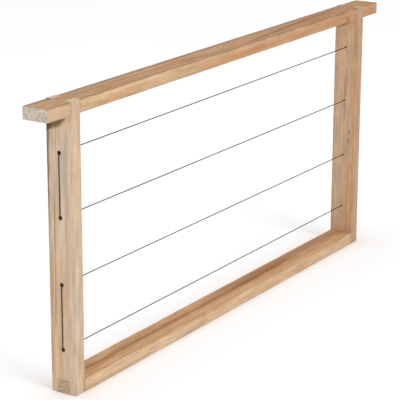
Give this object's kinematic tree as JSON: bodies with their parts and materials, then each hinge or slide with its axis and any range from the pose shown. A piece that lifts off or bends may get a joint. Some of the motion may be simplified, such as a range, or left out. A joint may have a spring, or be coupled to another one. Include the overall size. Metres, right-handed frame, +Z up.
{
  "type": "beehive frame",
  "caption": "Empty wooden frame for a moveable-frame beehive: lugged top bar, forked side bars and bottom bar, strung with horizontal wire to hold a sheet of wax foundation.",
  "frame": {"origin": "middle of the underside of the bottom bar, on the plane the frame stands on", "axes": "+X along the top bar, -Y the front face, +Z up"},
  "size_m": [0.477, 0.0216, 0.2166],
  "materials": {
    "top_bar_wood": "planed, unfinished",
    "side_bar_wood": "planed, unfinished",
    "bottom_bar_wood": "planed, unfinished",
    "wire_steel": "drawn, dulled grey",
    "nail_steel": "dull"
  },
  "bodies": {
    "root": {"top_bar": "top_bar_wood", "side_bar_left": "side_bar_wood", "side_bar_right": "side_bar_wood", "bottom_bar": "bottom_bar_wood", "frame_wire": "wire_steel", "wire_nail_upper": "nail_steel", "wire_nail_lower": "nail_steel", "joint_nail_top_left": "nail_steel", "joint_nail_top_right": "nail_steel", "joint_nail_bottom_left": "nail_steel", "joint_nail_bottom_right": "nail_steel"}
  },
  "joints": []
}
